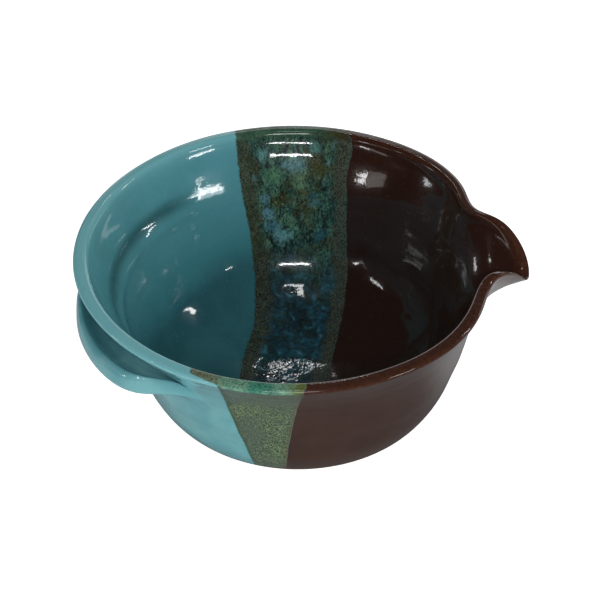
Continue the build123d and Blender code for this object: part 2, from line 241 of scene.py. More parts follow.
def handle_section(theta, azimuth):
    """Rows of (radius, height) over the handle; away from it they follow the wall."""
    on_handle = (azimuth > HANDLE_START) & (azimuth < HANDLE_END)
    far_end = 360 - (HANDLE_END - HANDLE_START)
    middle = np.where(on_handle, handle_z_at(azimuth),
                      np.interp((azimuth - HANDLE_END) % 360, [0, 60, far_end],
                                [HANDLE_Z[-1][1], 77.0, HANDLE_Z[0][1]]))
    wall = wall_radius(middle, theta)
    edge = np.where(on_handle, np.maximum(crest_at(azimuth), wall - 1.2), wall - 1.2)
    reach = edge - wall
    full = np.clip((reach + 1.0) / 17.0, 0, 1)
    blend = smooth(-1.2, 5.0, reach)
    half = ROLL / 2 * (0.65 + 0.35 * full)
    dish = DISH * full
    low, high, top = middle - half - 9.0 - 4.0 * full, middle + half + 1.0, middle + half
    # (share of the reach from root to edge, height), up the underside and back over the top
    stations = [(0.27, low + 3.0), (0.40, middle - half - 3.6 * full),
                (0.60, middle - half - 1.3 * full), (0.80, middle - half * 1.02),
                (0.955, middle - half * 0.62), (1.0, middle + half * 0.15),
                (0.935, middle + half * 0.82), (0.82, top), (0.70, top - dish * 0.45),
                (0.555, top - dish - 0.5 * full), (0.39, top - dish - 0.6 * full),
                (0.27, top - dish * 0.55)]

    def on_wall(z):
        return wall_radius(z, theta), z

    # two controls on the wall at each end keep the section tangent to it
    controls = [on_wall(low - 3), on_wall(low)]
    for i, (share, station_z) in enumerate(stations):
        plain = low + (high - low) * (i + 1) / (len(stations) + 1)
        z = plain * (1 - blend) + station_z * blend
        wall = wall_radius(z, theta)
        out = wall - BURY + share * (edge - (wall - BURY))
        soft = 1.6 * blend + 1e-3
        r = 0.5 * (out + wall + np.sqrt((out - wall) ** 2 + soft * soft))
        controls.append((r * blend + wall * (1 - blend), z))
    controls += [on_wall(high), on_wall(high + 2)]
    controls = np.array(controls).transpose(0, 2, 1)
    section = spline(HANDLE_KNOTS, controls.reshape(len(HANDLE_KNOTS), -1), clamped=False)
    spans = zip(HANDLE_KNOTS[1:-2], HANDLE_KNOTS[2:-1])
    at = np.concatenate([np.linspace(a, b, ROWS_PER_SPAN, endpoint=False) for a, b in spans]
                        + [[HANDLE_KNOTS[-2]]])
    rows = section(at).reshape(len(at), len(theta), 2)
    return rows[..., 0], rows[..., 1], low, high


def glaze_grid():
    theta = around(COLUMNS)
    x, y, _ = place(outer_radius(79.0), np.full(COLUMNS, 79.0), 0.0, theta)
    azimuth = np.degrees(np.arctan2(y, x)) % 360
    handle_r, handle_z, low, high = handle_section(theta, azimuth)
    line = (GLAZE_LINE + 0.5 * np.sin(theta * 5 + 1) + 0.35 * np.sin(theta * 9 + 2.2)
            + 0.25 * np.sin(theta * 17))
    t = np.linspace(0, 1, ROWS_LOW, endpoint=False)[:, None]
    below = outer_s(line) + (outer_s(low) - outer_s(line)) * (0.35 * t * t + 0.65 * t)
    t = np.linspace(0, 1, ROWS_UP, endpoint=False)[1:, None]
    above = outer_s(high) + (S_LIP0 - outer_s(high)) * t
    over = np.concatenate([
        np.linspace(S_LIP0, S_LIP1, ROWS_LIP, endpoint=False),
        S_LIP1 + (S_END - 0.7 - S_LIP1) * np.linspace(0, 1, ROWS_IN) ** 0.93])
    s = np.vstack([below, outer_s(handle_z), above, over[:, None] * np.ones(COLUMNS)])
    r, z, inner = radius_at(s), height_at(s), inner_share_at(s)
    push = np.zeros(s.shape)
    rows = slice(ROWS_LOW, ROWS_LOW + len(handle_z))
    r[rows] = outer_radius(handle_z)
    z[rows] = handle_z
    push[rows] = handle_r - wall_radius(handle_z, theta)
    theta = np.broadcast_to(theta, s.shape)
    x, y, z = place(r, z, inner, theta)
    cos, sin = np.cos(np.radians(azimuth)), np.sin(np.radians(azimuth))
    # the handle's clay reaches 2.6 mm into the wall
    deep = np.stack([x - 2.6 * cos, y - 2.6 * sin, z], -1)
    grid = np.stack([x + push * cos, y + push * sin, z], -1)
    return grid, theta, s, inner, push, azimuth, rows, deep


def grid_normals(grid):
    across = np.roll(grid, -1, 1) - np.roll(grid, 1, 1)
    along = np.empty_like(grid)
    along[1:-1] = grid[2:] - grid[:-2]
    along[0], along[-1] = grid[1] - grid[0], grid[-1] - grid[-2]
    n = np.cross(across, along)
    return n / np.maximum(np.linalg.norm(n, axis=-1, keepdims=True), 1e-9)


def grid_quads(rows, columns):
    i, j = np.meshgrid(np.arange(rows - 1), np.arange(columns), indexing="ij")
    k = (j + 1) % columns
    return np.stack([i * columns + j, i * columns + k, (i + 1) * columns + k,
                     (i + 1) * columns + j], -1).reshape(-1, 4)


def floor_fan(rows, columns, centre):
    """Triangles from the last row to the vertex at the floor's centre."""
    first = (rows - 1) * columns
    return [[first + j, first + (j + 1) % columns, centre] for j in range(columns)]


# ---------------------------------------------------------------------------
# Relief, in mm along the normal
# ---------------------------------------------------------------------------
def wobble(theta, seed, count=6, lowest=1):
    """Seeded smooth periodic noise around the axis, about -1..1."""
    rng = np.random.RandomState(seed)
    v = 0
    for f in range(lowest, lowest + count):
        v = v + rng.normal() * np.cos(f * theta + rng.uniform(0, 6.28)) / math.sqrt(f)
    return v / 1.6


def bell(v, width):
    return np.exp(-(v / width) ** 2)


def dimples(grid):
    """Soft dimples and swellings, kept to the inside by the caller."""
    d = np.zeros(grid.shape[:2])
    for x, y, z, radius, height in DIMPLES:
        q = ((grid - np.array([x, y, z])) ** 2).sum(-1) / (radius * radius)
        d += height * np.exp(-q)
    return d


def pull_mark(theta):
    """Strength of the deep mark on the left wall, and its place along the profile."""
    azimuth = np.degrees(theta)
    arc = smooth(121, 137, azimuth) * (1 - smooth(186, 222, azimuth))
    return arc, S_LIP1 + 20.2 + 0.8 * wobble(theta, 71, 5)


def throwing_marks(theta, s):
    d = np.zeros(s.shape)
    turn = theta / (2 * np.pi)
    inside = smooth(S_LIP1 + 4, S_LIP1 + 18, s)
    outside = 1 - smooth(S_LIP0 - 14, S_LIP0 - 4, s)
    off_centre = 1 - smooth(S_END - 70, S_END - 20, s)
    rng = np.random.RandomState(11)

    def uneven(count):
        return wobble(theta, int(rng.randint(1e6)), count)

    # soft rings pulled up the inside wall
    for start, width, height in INNER_RINGS:
        drift = 3.0 * uneven(4)
        amount = 0.65 + 0.55 * uneven(5)
        mask = inside
        if width > 9:           # the broad one under the lip stays level
            drift, amount = 0.0, 0.9 + 0.08 * wobble(theta, 77, 6)
            mask = smooth(S_LIP1 - 3, S_LIP1 + 9, s)
        d += mask * height * amount * bell(s - (S_LIP1 + start) - drift, width)
    # one deep pull mark with a swelling under it
    arc, mark = pull_mark(theta)
    d += arc * (-1.15 * bell(s - mark, 3.2) + 0.85 * bell(s - mark - 7.8, 3.8))
    # a fine spiral inside, then larger rings and a finer spiral outside
    d += (inside * off_centre * 0.03 * np.sin(2 * np.pi * (s / 6.3 + turn))
          * (0.6 + 0.4 * wobble(theta, 5, 5)))
    for start, width, height in OUTER_RINGS:
        drift = 2.0 * uneven(3)
        d += outside * height * (0.7 + 0.4 * uneven(4)) * bell(s - start - drift, width)
    d += outside * 0.010 * np.sin(2 * np.pi * (s / 4.1 + turn))
    # the lip is never quite even
    lip = smooth(S_LIP0 - 8, S_LIP0, s) * (1 - smooth(S_LIP1, S_LIP1 + 8, s))
    d += lip * (0.10 * wobble(theta, 21, 8, 3) + 0.05 * wobble(theta, 22, 10, 11))
    return d


def glaze_bead(s):
    """The glaze rolls to a bead at its lower edge."""
    t = s - s[0]
    return 0.22 * bell(t - 1.3, 1.1) - 0.40 * bell(t, 0.45)


def make_dimples():
    """Dimples as (x, y, z, radius, height), outward positive."""
    rng = np.random.RandomState(4)
    items = []
    for x, y, z in FINGER_MARKS:
        for _ in range(2):
            o = rng.normal(size=3) * 3.2
            items.append((x + o[0], y + o[1], z + o[2], rng.uniform(3.2, 7.0),
                          rng.choice([-1, 1]) * rng.uniform(0.14, 0.34)))
    for _ in range(34):            # uneven pool of glaze on the floor of the band
        angle, r = rng.uniform(0, 6.28), rng.uniform(0, 34)
        items.append((-4 + 0.45 * r * math.cos(angle), 14 + r * math.sin(angle), 11.6,
                      rng.uniform(1.8, 3.4), rng.choice([-1, 1]) * rng.uniform(0.02, 0.06)))
    for _ in range(40):            # slight unevenness everywhere inside
        angle, z = rng.uniform(0, 6.28), rng.uniform(16, 88)
        r = float(np.interp(z, [11.5, 19, 30, 54, 92], [30, 58, 71, 82, 101]))
        items.append((r * math.cos(angle) + RIM_SHIFT[0] * (z / HEIGHT) ** 2,
                      r * math.sin(angle), z, rng.uniform(6, 13), rng.uniform(-0.22, 0.22)))
    return items


DIMPLES = make_dimples()

# ---------------------------------------------------------------------------
# Glaze surface and its fields
# ---------------------------------------------------------------------------
grid, THETA, ALONG, INSIDE, HANDLE_PUSH, azimuth, handle_rows, deep = glaze_grid()
relief = (throwing_marks(THETA, ALONG) + glaze_bead(ALONG)
          + dimples(grid) * smooth(S_LIP1, S_LIP1 + 8, ALONG))
grid = grid + grid_normals(grid) * relief[..., None]
ROWS = len(grid)


def dip_side(outside, inside):
    """Signed distance in x from a dip line, which changes course over the lip."""
    outside, inside = (through(sorted((y, x) for x, y in edge), clamped=False)
                       for edge in (outside, inside))
    y = np.clip(grid[..., 1], -129, 129)
    inner = smooth(0.0, 0.4, INSIDE)
    return grid[..., 0] - (outside(y) * (1 - inner) + inside(y) * inner)


arc, mark = pull_mark(THETA)
fields = {"fl": dip_side(BAND_OUT_LEFT, BAND_IN_LEFT),
          "fr": dip_side(BAND_OUT_RIGHT, BAND_IN_RIGHT),
          "inn": INSIDE, "sm": ALONG, "lip": bell(ALONG - S_LIP_MID, 6.5),
          # field along the pull mark's groove, for glaze pooled there and painted shade in the
          # groove
          "push": HANDLE_PUSH, "pool": arc * bell(ALONG - mark - 0.5, 3.6)}
for key, field in fields.items():
    fields[key] = np.append(field.ravel(), field[-1].mean())
points = grid.reshape(-1, 3)
centre = len(points)
points = np.vstack([points, points[-COLUMNS:].mean(0)])
normals = np.vstack([grid_normals(grid).reshape(-1, 3), [0, 0, 1]])

# ---------------------------------------------------------------------------
# The glaze zones, cut along the dip lines
# ---------------------------------------------------------------------------
cuts = []        # (a, b, t) for each vertex made where a dip line crosses the edge a-b


def clip(polys, side):
    """Splits polygons by the sign of the list side; returns (negative, positive)."""
    negative, positive, made = [], [], {}
    for poly in polys:
        values = [side[v] for v in poly]
        if min(values) >= 0:
            positive.append(poly)
            continue
        if max(values) <= 0:
            negative.append(poly)
            continue
        below, above = [], []
        for q, v in enumerate(poly):
            following = (q + 1) % len(poly)
            if values[q] >= 0:
                above.append(v)
            if values[q] <= 0:
                below.append(v)
            if values[q] * values[following] < 0:
                a, b = sorted((v, poly[following]))
                if (a, b) not in made:
                    made[a, b] = len(side)
                    t = side[a] / (side[a] - side[b])
                    cuts.append((a, b, t))
                    for each in (left_side, right_side):
                        each.append(each[a] * (1 - t) + each[b] * t)
                    side[made[a, b]] = 0.0
                below.append(made[a, b])
                above.append(made[a, b])
        if len(below) > 2:
            negative.append(below)
        if len(above) > 2:
            positive.append(above)
    return negative, positive


def snapped(field):
    """Vertices close to a dip line are taken to lie on it, which avoids slivers."""
    return np.where(np.abs(field) < 0.14, 0.0, field)


left_field = snapped(fields["fl"])
left_side, right_side = left_field.tolist(), snapped(fields["fr"]).tolist()

quads = grid_quads(ROWS, COLUMNS)
on_columns = (azimuth > HANDLE_START) & (azimuth < HANDLE_END)
row = np.arange(ROWS - 1)[:, None]
on_handle = ((row >= handle_rows.start) & (row < handle_rows.stop - 1)
             & on_columns & np.roll(on_columns, -1)).ravel()
corner_sides = left_field[quads]
is_rest = corner_sides.min(1) >= 0
is_turquoise = (corner_sides.max(1) <= 0) & ~is_rest
crossing = quads[~is_turquoise & ~is_rest].tolist() + floor_fan(ROWS, COLUMNS, centre)
cut_turquoise, cut_rest = clip(crossing, left_side)
turquoise = quads[is_turquoise & ~on_handle].tolist() + cut_turquoise
handle = quads[is_turquoise & on_handle].tolist()
green, brown = clip(quads[is_rest].tolist() + cut_rest, right_side)

# vertices on the cuts, in order, so that every source vertex already exists
points = np.vstack([points, np.zeros((len(cuts), 3))])
normals = np.vstack([normals, np.zeros((len(cuts), 3))])
fields = {key: np.concatenate([field, np.zeros(len(cuts))]) for key, field in fields.items()}
for c, (a, b, t) in enumerate(cuts, centre + 1):
    for values in (points, normals, *fields.values()):
        values[c] = values[a] * (1 - t) + values[b] * t
    normals[c] /= np.linalg.norm(normals[c])


# ---------------------------------------------------------------------------
# Meshes
# ---------------------------------------------------------------------------
def add_object(name, data):
    ob = bpy.data.objects.new(name, data)
    bpy.context.scene.collection.objects.link(ob)
    return ob


def new_mesh(name, verts, faces, loop_normals=None, attributes=None):
    """Smooth-shaded object from vertices in mm about the foot ring's axis."""
    me = bpy.data.meshes.new(name)
    sizes = np.array([len(f) for f in faces], np.int32)
    loops = np.concatenate([np.asarray(f, np.int32) for f in faces])
    me.vertices.add(len(verts))
    me.vertices.foreach_set("co", ((verts + AXIS) * 0.001).astype(np.float32).ravel())
    me.loops.add(len(loops))
    me.loops.foreach_set("vertex_index", loops)
    me.polygons.add(len(sizes))
    starts = np.concatenate([[0], np.cumsum(sizes)[:-1]]).astype(np.int32)
    me.polygons.foreach_set("loop_start", starts)
    me.polygons.foreach_set("use_smooth", np.full(len(sizes), True))
    me.update(calc_edges=True)
    me.validate()
    for key, values in (attributes or {}).items():
        attribute = me.attributes.new(key, "FLOAT", "POINT")
        attribute.data.foreach_set("value", np.asarray(values, np.float32))
    # validate() may drop faulty faces, and then the normals no longer line up
    if loop_normals is not None and len(me.loops) == len(loops):
        me.normals_split_custom_set(loop_normals.astype(np.float32))
    return add_object(name, me)


def coat(name, polys, top, bottom):
    """A closed shell: the outer skin, the face beneath it, and the rim between."""
    used = np.unique(np.concatenate([np.asarray(p) for p in polys]))
    renumber = -np.ones(len(points), np.int64)
    renumber[used] = np.arange(len(used))
    n = len(used)
    outer = [[int(renumber[v]) for v in p] for p in polys]
    inner = [[v + n for v in reversed(p)] for p in outer]
    edges = dict.fromkeys((v, p[(q + 1) % len(p)]) for p in outer for q, v in enumerate(p))
    rim = [[b, a, a + n, b + n] for a, b in edges if (b, a) not in edges]
    verts = np.vstack([top[used], bottom[used]])
    skin = normals[used]
    corners = verts[np.array(rim)]
    side = np.cross(corners[:, 1] - corners[:, 0], corners[:, 3] - corners[:, 0])
    side /= np.maximum(np.linalg.norm(side, axis=1, keepdims=True), 1e-12)
    loop_normals = np.vstack([skin[np.concatenate(outer)], -skin[np.concatenate(inner) - n],
                              np.repeat(side, 4, 0)])
    doubled = {key: np.tile(field[used], 2) for key, field in fields.items()}
    return new_mesh(name, verts, outer + inner + rim, loop_normals, doubled)


def clay_mesh():
    """Bare clay under the glaze: the same profile one coat smaller, with the trimmed foot."""
    columns = CLAY_COLUMNS
    under = []
    for (r0, z0), (r1, z1) in zip(UNDERSIDE, UNDERSIDE[1:]):
        m = max(1, int(math.hypot(r1 - r0, z1 - z0) / 1.2))
        under += [(r0 + (r1 - r0) * q / m, z0 + (z1 - z0) * q / m) for q in range(m)]
    first = float(outer_s(0.9)) + 0.3
    wall_s = np.concatenate([np.linspace(first, first + 14, 14, endpoint=False),
                             np.linspace(first + 14, S_LIP0, 34, endpoint=False),
                             np.linspace(S_LIP0, S_LIP1, 14, endpoint=False),
                             np.linspace(S_LIP1, S_END - 0.5, 62)])
    dr = np.interp(wall_s, S, np.gradient(PROFILE_R, S))
    dz = np.interp(wall_s, S, np.gradient(PROFILE_Z, S))
    length = np.hypot(dr, dz)
    offset = COAT + 0.08
    grow = smooth(first, first + 3, wall_s)
    wall = np.stack([radius_at(wall_s) - offset * dz / length * grow - 0.05,
                     height_at(wall_s) + offset * dr / length * grow], -1)
    profile = np.vstack([under, wall])
    rows = len(profile)
    s = np.concatenate([np.zeros(len(under)), wall_s])
    r, z, s, inner = (np.broadcast_to(v[:, None], (rows, columns))
                      for v in (profile[:, 0], profile[:, 1], s, inner_share_at(s)))
    theta = np.broadcast_to(around(columns), r.shape)
    p = np.stack(place(r, z, inner, theta), -1)
    p = p + grid_normals(p) * (throwing_marks(theta, s) * smooth(6, 12, s)
                               + dimples(p) * smooth(S_LIP1, S_LIP1 + 8, s))[..., None]
    # turning marks under the foot, slight unevenness on the bare edge above it
    turning = (0.10 * np.sin(2 * np.pi * (r / 2.6 + theta / (2 * np.pi))) * smooth(2, 8, r)
               + 0.05 * wobble(theta, 31, 9, 5))
    bare = ((1 - smooth(4.0, 7.0, z)) * (0.06 * wobble(theta, 33, 12, 9) + 0.05 * np.sin(z * 4.5))
            * (z > 0.8))
    beneath = (np.arange(rows) < len(under) - 10)[:, None]
    p = p + grid_normals(p) * np.where(beneath, turning, bare)[..., None]
    v = p.reshape(-1, 3)
    bottom, top = len(v), len(v) + 1
    v = np.vstack([v, [0, 0, UNDERSIDE[0][1]], v[-columns:].mean(0)])
    faces = grid_quads(rows, columns).tolist()
    faces += [[(j + 1) % columns, j, bottom] for j in range(columns)]
    faces += floor_fan(rows, columns, top)
    return new_mesh("bowl_clay", v, faces)


glaze_bottom = points - normals * COAT
turquoise_ob = coat("turquoise_coat", turquoise, points, glaze_bottom)
green_ob = coat("green_band_coat", green, points, glaze_bottom)
brown_ob = coat("brown_coat", brown, points, glaze_bottom)
handle_ob = coat("handle_coat", handle, points, glaze_bottom)
deep = np.vstack([deep.reshape(-1, 3), np.zeros((len(points) - ROWS * COLUMNS, 3))])
handle_clay = coat("handle_clay", handle, points - normals * (COAT + 0.06), deep)
clay_ob = clay_mesh()


# ---------------------------------------------------------------------------
# Materials
# ---------------------------------------------------------------------------
def rgb(*channels):
    """Linear colour from sRGB channels of 0-255."""
    shares = [c / 255.0 for c in channels]
    return (*(c / 12.92 if c <= 0.04045 else ((c + 0.055) / 1.055) ** 2.4 for c in shares), 1.0)


def grey(level):
    return (level, level, level, 1)


class Nodes:
    """Wires a node tree; any input takes a number, a tuple or another node's output."""

    def __init__(self, tree):
        self.tree = tree
        tree.nodes.clear()

    def put(self, socket, value):
        if hasattr(value, "is_output"):
            self.tree.links.new(value, socket)
        else:
            socket.default_value = value

    def feed(self, node, inputs):
        for key, value in inputs.items():
            self.put(node.inputs[key], value)

    def node(self, kind, inputs=None, **settings):
        n = self.tree.nodes.new("ShaderNode" + kind)
        for key, value in settings.items():
            setattr(n, key, value)
        self.feed(n, inputs or {})
        return n

    def mix_shader(self, factor, a, b):
        return self.node("MixShader", {0: factor, 1: a, 2: b}).outputs[0]


class Material(Nodes):
    """A material round one Principled shader. Lengths in its textures are in mm."""

    def __init__(self, name):
        self.mat = bpy.data.materials.new(name)
        self.mat.use_nodes = True
        super().__init__(self.mat.node_tree)
        self.out = self.node("OutputMaterial")
        self.bsdf = self.node("BsdfPrincipled")
        self.put(self.out.inputs[0], self.bsdf.outputs[0])

    def attr(self, name):
        return self.node("Attribute", attribute_name=name).outputs["Fac"]

    def math(self, operation, a, b=0.0):
        return self.node("Math", {0: a, 1: b, 2: 0.0}, operation=operation).outputs[0]

    def add(self, a, b):
        return self.math("ADD", a, b)

    def mul(self, product, *factors):
        for factor in factors:
            product = self.math("MULTIPLY", product, factor)
        return product

    def invert(self, v):
        return self.math("SUBTRACT", 1.0, v)

    def swing(self, noise, reach):
        """Noise centred on zero, times reach."""
        return self.mul(self.math("SUBTRACT", noise, 0.5), reach)

    def veins(self, noise):
        """Near zero along thin winding lines."""
        return self.math("ABSOLUTE", self.math("SUBTRACT", noise, 0.5))

    def ramp(self, v, over, to=(0.0, 1.0)):
        """Smooth step of v over one range, mapped to another."""
        inputs = dict(enumerate((v, *over, *to)))
        return self.node("MapRange", inputs, interpolation_type="SMOOTHSTEP",
                         clamp=True).outputs[0]

    def mix(self, factor, a, b):
        return self.node("Mix", {0: factor, 6: a, 7: b}, data_type="RGBA",
                         clamp_factor=True).outputs[2]

    def tint(self, base, colour, by, over, most=1.0):
        """Lays colour on base where by passes through over, up to the share most."""
        return self.mix(self.ramp(by, over, to=(0.0, most)), base, colour)

    def colours(self, factor, stops):
        n = self.node("ValToRGB", {0: factor})
        e = n.color_ramp.elements
        while len(e) < len(stops):
            e.new(0.5)
        for k, (position, colour) in enumerate(stops):
            e[k].position = position
            e[k].color = colour
        return n.outputs[0]

    def vector_math(self, operation, inputs):
        return self.node("VectorMath", inputs, operation=operation).outputs

    def mm(self):
        """Position in millimetres about the foot ring's axis."""
        position = self.node("TexCoord").outputs["Object"]
        scaled = self.vector_math("SCALE", {0: position, 3: 1000.0})[0]
        return self.vector_math("SUBTRACT", {0: scaled, 1: tuple(AXIS)})[0]

    def xyz(self, v):
        return self.node("SeparateXYZ", {0: v}).outputs

    def vec(self, x, y, z):
        return self.node("CombineXYZ", {0: x, 1: y, 2: z}).outputs[0]

    def noise(self, v, scale, detail=3.0, rough=0.5, distort=0.0, output=0):
        return self.node("TexNoise", {"Vector": v, "Scale": scale, "Detail": detail,
                                      "Roughness": rough, "Distortion": distort}).outputs[output]

    def warp(self, v, scale, amount):
        """v pushed about by a soft noise, amount in millimetres."""
        colour = self.noise(v, scale, detail=2.0, output="Color")
        push = self.vector_math("MULTIPLY_ADD", {0: colour, 1: (amount,) * 3,
                                                 2: (-amount / 2,) * 3})[0]
        return self.vector_math("ADD", {0: v, 1: push})[0]

    def dist(self, v, point):
        return self.vector_math("DISTANCE", {0: v, 1: point})["Value"]

    def bump(self, height, distance, strength, normal=None):
        n = self.node("Bump", {"Strength": strength, "Distance": distance, "Height": height})
        if normal is not None:
            self.put(n.inputs["Normal"], normal)
        return n.outputs[0]


# Drops of colour in the band on the inside back wall and floor: x, y, z, radius, then sRGB
DROPS = [(-19, 98, 85, 4.0, 104, 166, 168), (-1, 96, 78, 6.0, 112, 168, 176),
         (-18, 86, 64, 3.6, 92, 142, 156), (-16, 83, 56, 4.6, 104, 158, 176),
         (-13, 80, 50, 3.6, 76, 130, 156), (-9, 79, 45, 5.2, 112, 170, 178),
         (9, 100, 87, 4.0, 92, 152, 146), (9, 86, 61, 3.4, 84, 134, 140),
         (7, 88, 65, 3.0, 56, 98, 112), (-13, 93, 75, 5.0, 88, 146, 104),
         (1, 92, 72, 6.0, 104, 136, 100), (11, 94, 77, 5.5, 80, 80, 36),
         (2, 88, 66, 4.5, 84, 82, 42), (11, 79, 45, 5.0, 52, 104, 124),
         (-4, 73, 32, 5.0, 60, 112, 128), (4, 76, 37, 5.0, 70, 104, 92),
         (-10, 22, 12, 9.0, 44, 112, 136), (-16, 34, 13, 6.0, 56, 112, 126)]
# Streaks and the dark pool inside the band: (noise value, colour)
STREAKS = [(0.30, rgb(20, 32, 32)), (0.42, rgb(34, 60, 54)), (0.52, rgb(58, 98, 86)),
           (0.62, rgb(80, 122, 98)), (0.74, rgb(100, 138, 110))]
NAVY = [(0.32, rgb(18, 28, 34)), (0.48, rgb(24, 54, 66)), (0.60, rgb(30, 88, 110)),
        (0.72, rgb(90, 150, 170))]


def turquoise_colour(g, z, lip, inside, cloud, fine):
    """Darker down the inside and in the pull mark, partly where glaze pools thicker and partly
    painted shade; paler on the edge of the lip.
    """
    outer = g.tint(rgb(100, 164, 172), rgb(120, 180, 184), by=cloud, over=(0.35, 0.65))
    # painted shade: the inside darkens from near the rim down to the floor, partly also glaze
    # pooled thicker there
    inner = g.tint(rgb(88, 156, 166), rgb(48, 110, 120), by=z, over=(84, 20))
    inner = g.tint(inner, rgb(66, 134, 140), by=cloud, over=(0.38, 0.62), most=0.35)
    # painted shade in the pull mark's groove, together with glaze pooled there: darker turquoise
    inner = g.mix(g.mul(g.attr("pool"), 0.72), inner, rgb(30, 74, 76))
    col = g.mix(inside, outer, inner)
    col = g.mix(g.mul(lip, 0.75), col, rgb(133, 203, 209))
    col = g.tint(col, rgb(120, 178, 180), by=fine, over=(0.62, 0.74), most=0.30)
    return g.tint(col, rgb(52, 104, 116), by=fine, over=(0.36, 0.26), most=0.25)


def brown_colour(g, z, lip, inside, cloud, fine):
    """Near black where thick, breaking to rust on the lip."""
    outer = g.tint(rgb(54, 34, 27), rgb(63, 41, 33), by=cloud, over=(0.35, 0.65))
    inner = g.tint(rgb(50, 25, 16), rgb(46, 27, 20), by=z, over=(88, 40))
    col = g.mix(inside, outer, inner)
    rust = g.tint(rgb(60, 31, 19), rgb(76, 42, 26), by=fine, over=(0.35, 0.65))
    col = g.mix(g.mul(g.ramp(lip, over=(0.15, 0.7)), 0.70), col, rust)
    return g.tint(col, rgb(86, 58, 46), by=fine, over=(0.60, 0.75), most=0.35)


def band_inside(g, p, run, left, right, patch):
    """Streaks that run down the wall, coloured drops, speckled margins."""
    x, y, z = g.position
    bend = g.swing(g.noise(p, scale=0.12, detail=2), reach=9.0)
    flow = g.vec(g.add(x, bend), g.mul(run, 0.22), g.mul(y, 0.06))
    streak = g.noise(flow, scale=0.30, detail=4, rough=0.62)
    grain = g.noise(g.vec(x, g.mul(run, 0.55), g.mul(y, 0.55)), scale=1.0, detail=2, rough=0.6)
    olive = g.noise(g.vec(g.add(x, 41.0), g.mul(run, 0.7), z), scale=0.07, distort=0.3)
    col = g.colours(streak, STREAKS)
    col = g.tint(col, rgb(66, 66, 30), by=olive, over=(0.52, 0.66), most=0.75)
    col = g.tint(col, rgb(16, 26, 26), by=grain, over=(0.50, 0.34), most=0.80)
    col = g.tint(col, rgb(128, 158, 132), by=grain, over=(0.58, 0.72), most=0.55)
    warped = g.warp(p, scale=0.16, amount=7.0)
    for *middle, radius, red, green, blue in DROPS:
        col = g.tint(col, rgb(red, green, blue), by=g.dist(warped, middle),
                     over=(radius * 1.2, radius * 0.3), most=0.62)
    mottle = g.noise(p, scale=0.8, detail=2, rough=0.6)
    col = g.tint(col, rgb(24, 44, 42), by=mottle, over=(0.48, 0.38), most=0.55)
    drops = g.noise(g.vec(x, g.mul(run, 0.62), g.mul(y, 0.3)), scale=0.13, detail=2, rough=0.45,
                    distort=0.3)
    col = g.tint(col, rgb(96, 150, 160), by=drops, over=(0.62, 0.72), most=0.70)
    col = g.tint(col, rgb(20, 32, 32), by=grain, over=(0.47, 0.36), most=0.50)
    navy = g.colours(g.noise(p, scale=0.16, detail=4, rough=0.6, distort=0.8), NAVY)
    col = g.mix(g.mul(g.ramp(z, over=(46, 14)), 0.80), col, navy)
    speck = g.veins(g.noise(p, scale=0.85, detail=1.5))
    margin_l = g.tint(rgb(84, 96, 76), rgb(34, 38, 32), by=speck, over=(0.02, 0.12))
    margin_l = g.tint(margin_l, rgb(46, 48, 26), by=patch, over=(0.45, 0.6), most=0.55)
    margin_r = g.tint(rgb(84, 90, 74), rgb(42, 46, 36), by=speck, over=(0.02, 0.12))
    from_left = g.add(left, g.swing(patch, reach=16.0))
    from_right = g.add(right, g.swing(olive, reach=12.0))
    col = g.tint(col, margin_l, by=from_left, over=(10.5, 4.5), most=0.88)
    return g.tint(col, margin_r, by=from_right, over=(-9.5, -5.5), most=0.88)


def band_outside(g, p, left, right, worm):
    """Fine worm-like speckle of sage on dark green."""
    col = g.tint(rgb(128, 140, 104), rgb(40, 72, 54), by=worm, over=(0.015, 0.085))
    col = g.tint(col, rgb(78, 92, 82), by=g.noise(p, scale=0.06), over=(0.40, 0.62), most=0.55)
    col = g.tint(col, rgb(84, 96, 88), by=g.position[2], over=(66, 84), most=0.45)
    col = g.mix(g.mul(g.ramp(left, over=(3.4, 0.4)), 0.35), col, rgb(40, 66, 40))
    return g.mix(g.mul(g.ramp(right, over=(-2.6, -0.3)), 0.40), col, rgb(92, 66, 38))


def band_on_lip(g, p, patch):
    """Coarser and greener, olive towards its right end."""
    x, y, _ = g.position
    worm = g.veins(g.noise(p, scale=0.62, detail=2.5, distort=0.5))
    green = g.tint(rgb(74, 146, 122), rgb(124, 174, 148), by=patch, over=(0.40, 0.60))
    front = g.ramp(y, over=(20, -20))
    green = g.mix(g.mul(g.ramp(x, over=(-9, 3)), front), green, rgb(112, 122, 62))
    green = g.mix(g.mul(g.invert(front), 0.75), green, rgb(52, 74, 50))
    green = g.mix(g.mul(g.ramp(x, over=(6, 24)), g.invert(front)), green, rgb(66, 60, 32))
    green = g.tint(green, rgb(126, 138, 112), by=x, over=(-32, -41))
    return g.tint(green, g.mix(0.58, green, rgb(26, 38, 28)), by=worm, over=(0.02, 0.12))


